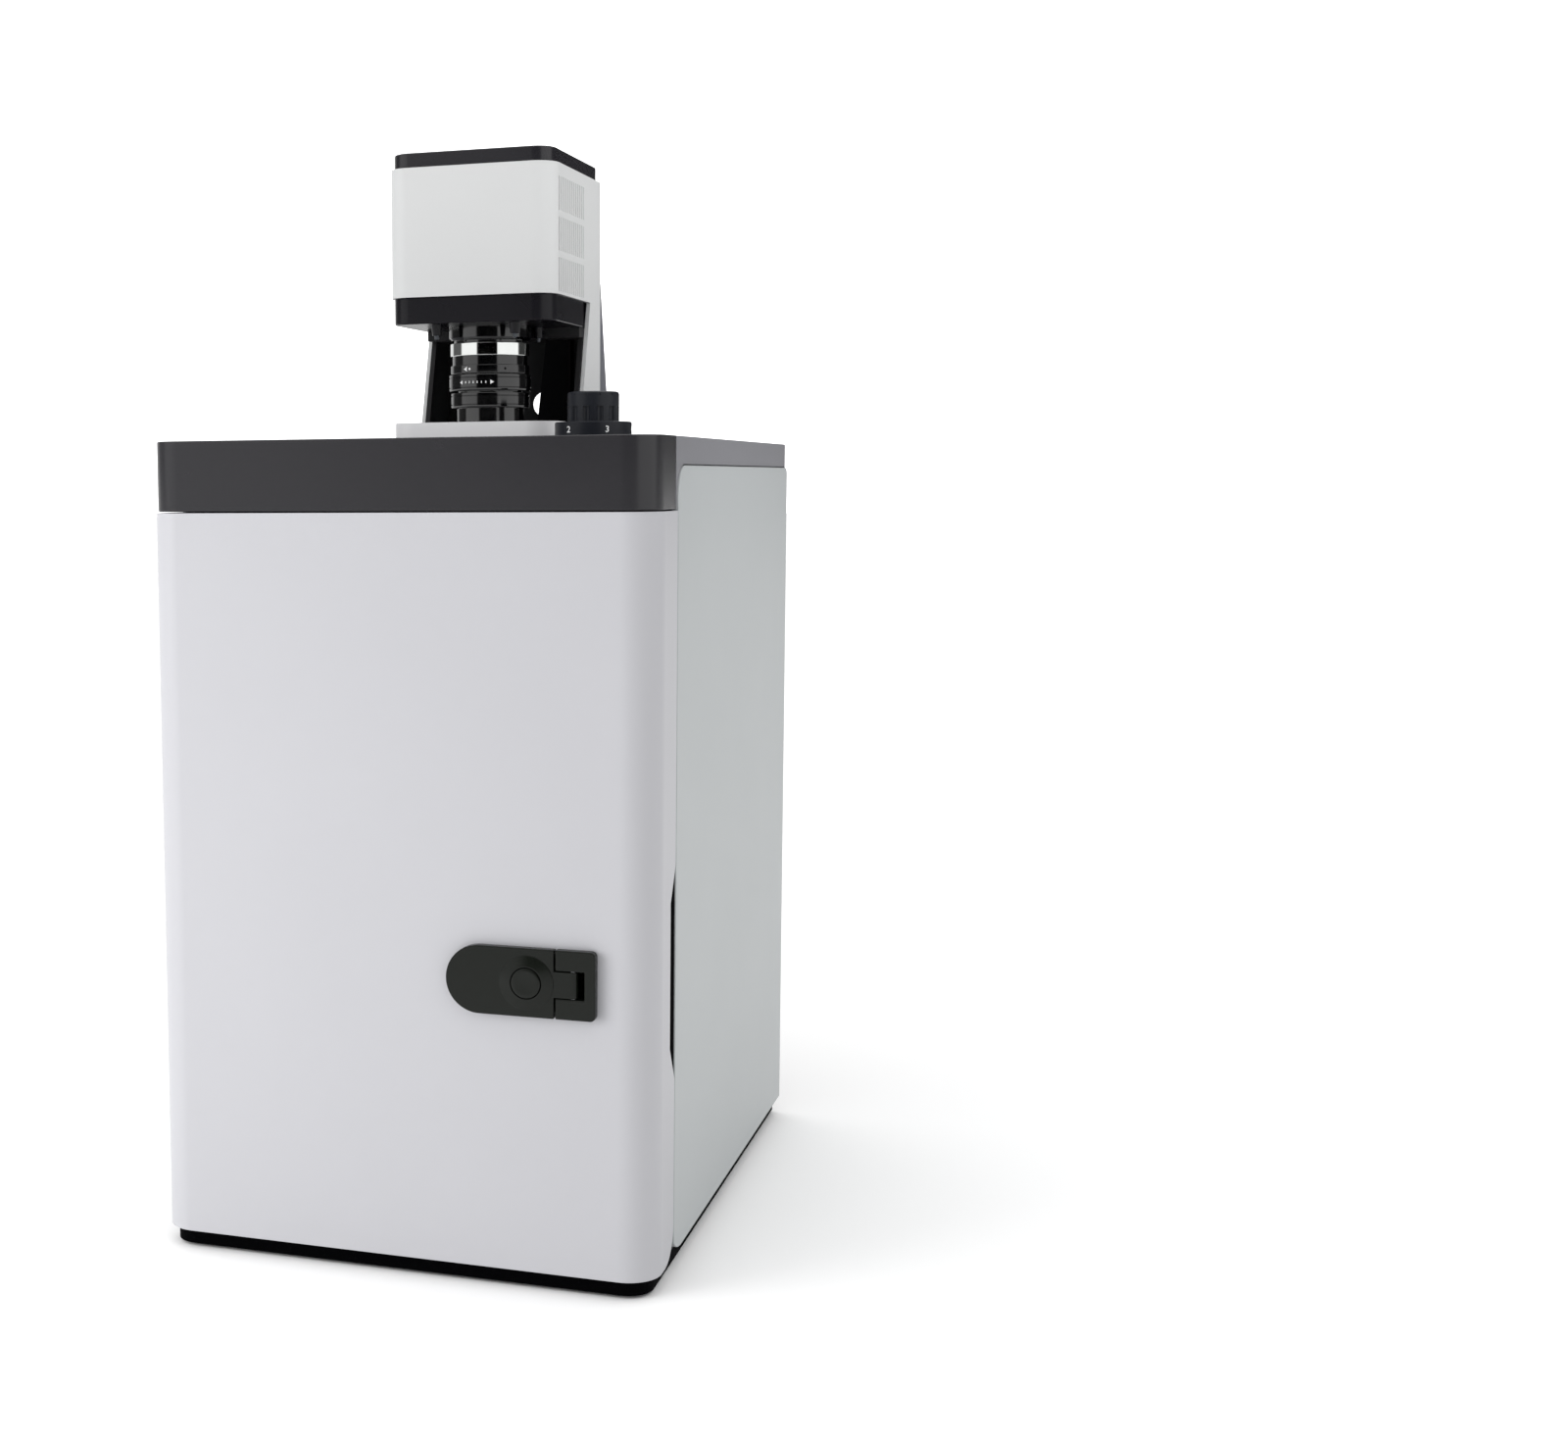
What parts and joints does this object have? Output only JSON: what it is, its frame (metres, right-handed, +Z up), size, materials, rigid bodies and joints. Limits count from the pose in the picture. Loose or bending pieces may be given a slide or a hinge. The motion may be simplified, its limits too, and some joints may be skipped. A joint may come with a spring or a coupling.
{
  "type": "gel documentation imager",
  "caption": "Bench imaging cabinet: light-tight chamber with hinged door, tray, filter wheel turned by a top knob, and a column head holding a lens over the lid.",
  "frame": {"origin": "on the floor under the middle of the object's outline, latch included", "axes": "+Z up, -Y towards the user and the door, +X to the user's right"},
  "size_m": [0.3, 0.3926, 0.648],
  "materials": {
    "door_grey": "light grey satin powder coat on the door",
    "panel_grey": "light grey satin powder coat on the side panels",
    "satin_black": "satin black moulded fascia and head cap",
    "lid_grey": "dark grey satin powder coat on the lid",
    "plinth_black": "matt black painted steel",
    "inner_black": "flat black light-absorbing paint",
    "rear_black": "fine textured dark grey powder coat",
    "rubber": "black moulded rubber",
    "foam": "black closed-cell foam",
    "bright_steel": "ground steel",
    "hinge_steel": "blackened steel",
    "tray_white": "white moulded tray",
    "diffuser": "opal acrylic",
    "supply_steel": "galvanised steel case",
    "board_green": "green circuit board",
    "port_black": "black moulded plastic",
    "port_metal": "nickel-plated steel",
    "latch_black": "dark green-black die-cast latch, satin",
    "wheel_black": "black anodised aluminium",
    "filter_glass": "amber optical glass",
    "pulley_white": "white acetal",
    "bronze": "sintered bronze",
    "knob_black": "blue-black moulded knob, satin",
    "plate_grey": "light grey painted aluminium plate",
    "head_white": "white satin powder coat",
    "cover_grey": "dark grey satin powder coat",
    "skirt_black": "semi-gloss black paint",
    "camera_grey": "dark anodised aluminium",
    "sink_metal": "extruded aluminium",
    "lens_black": "black anodised aluminium",
    "silver": "polished metal ring",
    "lens_glass": "coated lens glass"
  },
  "bodies": {
    "root": {"rubber_feet": "rubber", "base_plinth": "plinth_black", "carcass": "inner_black", "side_panel_left": "panel_grey", "side_panel_right": "panel_grey", "rear_panel": "rear_black", "top_cover": "lid_grey", "lid_fascia": "satin_black", "chamber_liner": "inner_black", "door_seal": "foam", "door_magnets": "bright_steel", "pivot_pins": "bright_steel", "shelf_rails": "inner_black", "light_bars": "port_black", "light_diffusers": "diffuser", "power_supply": "supply_steel", "control_board": "board_green", "power_inlet": "port_black", "usb_port": "port_metal", "rear_screws": "hinge_steel", "wheel_spindle": "bright_steel", "drive_belt": "rubber", "knob_bush": "bronze", "foot_plate": "plate_grey", "lens_seal": "foam", "column_core": "inner_black", "cable_duct": "port_black", "column_cover": "cover_grey", "head_housing": "head_white", "head_skirt": "skirt_black", "head_cap": "satin_black", "camera_body": "camera_grey", "heat_sink": "sink_metal", "fan_frame": "port_black", "thumb_screws": "lens_black", "lens_adapter": "lens_black", "lens_barrel": "lens_black", "silver_ring": "silver", "lens_lock_ring": "lens_black", "lens_glass": "lens_glass"},
    "door": {"door_shell": "door_grey", "door_inner_panel": "inner_black", "pivot_blocks": "hinge_steel", "catch_plates": "bright_steel", "finger_cup": "port_black", "latch_base": "latch_black", "latch_pin": "bright_steel"},
    "latch_handle": {"latch_handle": "latch_black", "latch_spring": "bright_steel"},
    "latch_button": {"latch_button": "latch_black"},
    "sample_tray": {"sample_tray": "tray_white"},
    "filter_wheel": {"filter_wheel": "wheel_black", "filters": "filter_glass", "wheel_pulley": "pulley_white"},
    "filter_knob": {"filter_knob": "knob_black", "knob_shaft": "bright_steel"},
    "focus_ring": {"focus_ring": "lens_black"},
    "aperture_ring": {"aperture_ring": "lens_black"},
    "fan_rotor": {"fan_rotor": "port_black"},
    "power_switch": {"power_switch": "port_black"}
  },
  "joints": [
    {"name": "door_hinge", "type": "hinge", "parent": "root", "child": "door", "pos_m": [-0.1415, -0.15025, 0.04], "axis": [0, 0, -1], "range_deg": [0, 105]},
    {"name": "latch_lever", "type": "hinge", "parent": "door", "child": "latch_handle", "pos_m": [0.105, -0.19115, 0.1774], "axis": [0, 0, 1], "range_deg": [0, 60]},
    {"name": "latch_push", "type": "slide", "parent": "latch_handle", "child": "latch_button", "axis": [0, 1, 0], "range_m": [0, 0.0025], "stiffness_N_per_m": 600, "springref_m": -0.004, "deforming": ["latch_spring"]},
    {"name": "tray_slide", "type": "slide", "parent": "root", "child": "sample_tray", "axis": [0, -1, 0], "range_m": [0, 0.075]},
    {"name": "filter_wheel_turn", "type": "hinge", "parent": "root", "child": "filter_wheel", "pos_m": [0.031, 0.04494, 0.443], "axis": [0, 0, 1], "continuous": true},
    {"name": "knob_turn", "type": "hinge", "parent": "root", "child": "filter_knob", "pos_m": [0.0827, -0.06875, 0.48], "axis": [0, 0, 1], "continuous": true},
    {"name": "focus_turn", "type": "hinge", "parent": "root", "child": "focus_ring", "pos_m": [0, -0.00875, 0.51], "axis": [0, 0, 1], "range_deg": [-120, 120]},
    {"name": "aperture_turn", "type": "hinge", "parent": "root", "child": "aperture_ring", "pos_m": [0, -0.00875, 0.499], "axis": [0, 0, 1], "range_deg": [-40, 40]},
    {"name": "fan_spin", "type": "hinge", "parent": "root", "child": "fan_rotor", "pos_m": [0, -0.00875, 0.62], "axis": [0, 0, 1], "continuous": true},
    {"name": "power_rocker", "type": "hinge", "parent": "root", "child": "power_switch", "pos_m": [-0.048, 0.19125, 0.0355], "axis": [1, 0, 0], "range_deg": [0, 14]}
  ],
  "couplings": [
    {"joint": "knob_turn", "follows": "filter_wheel_turn", "ratio": 1}
  ]
}
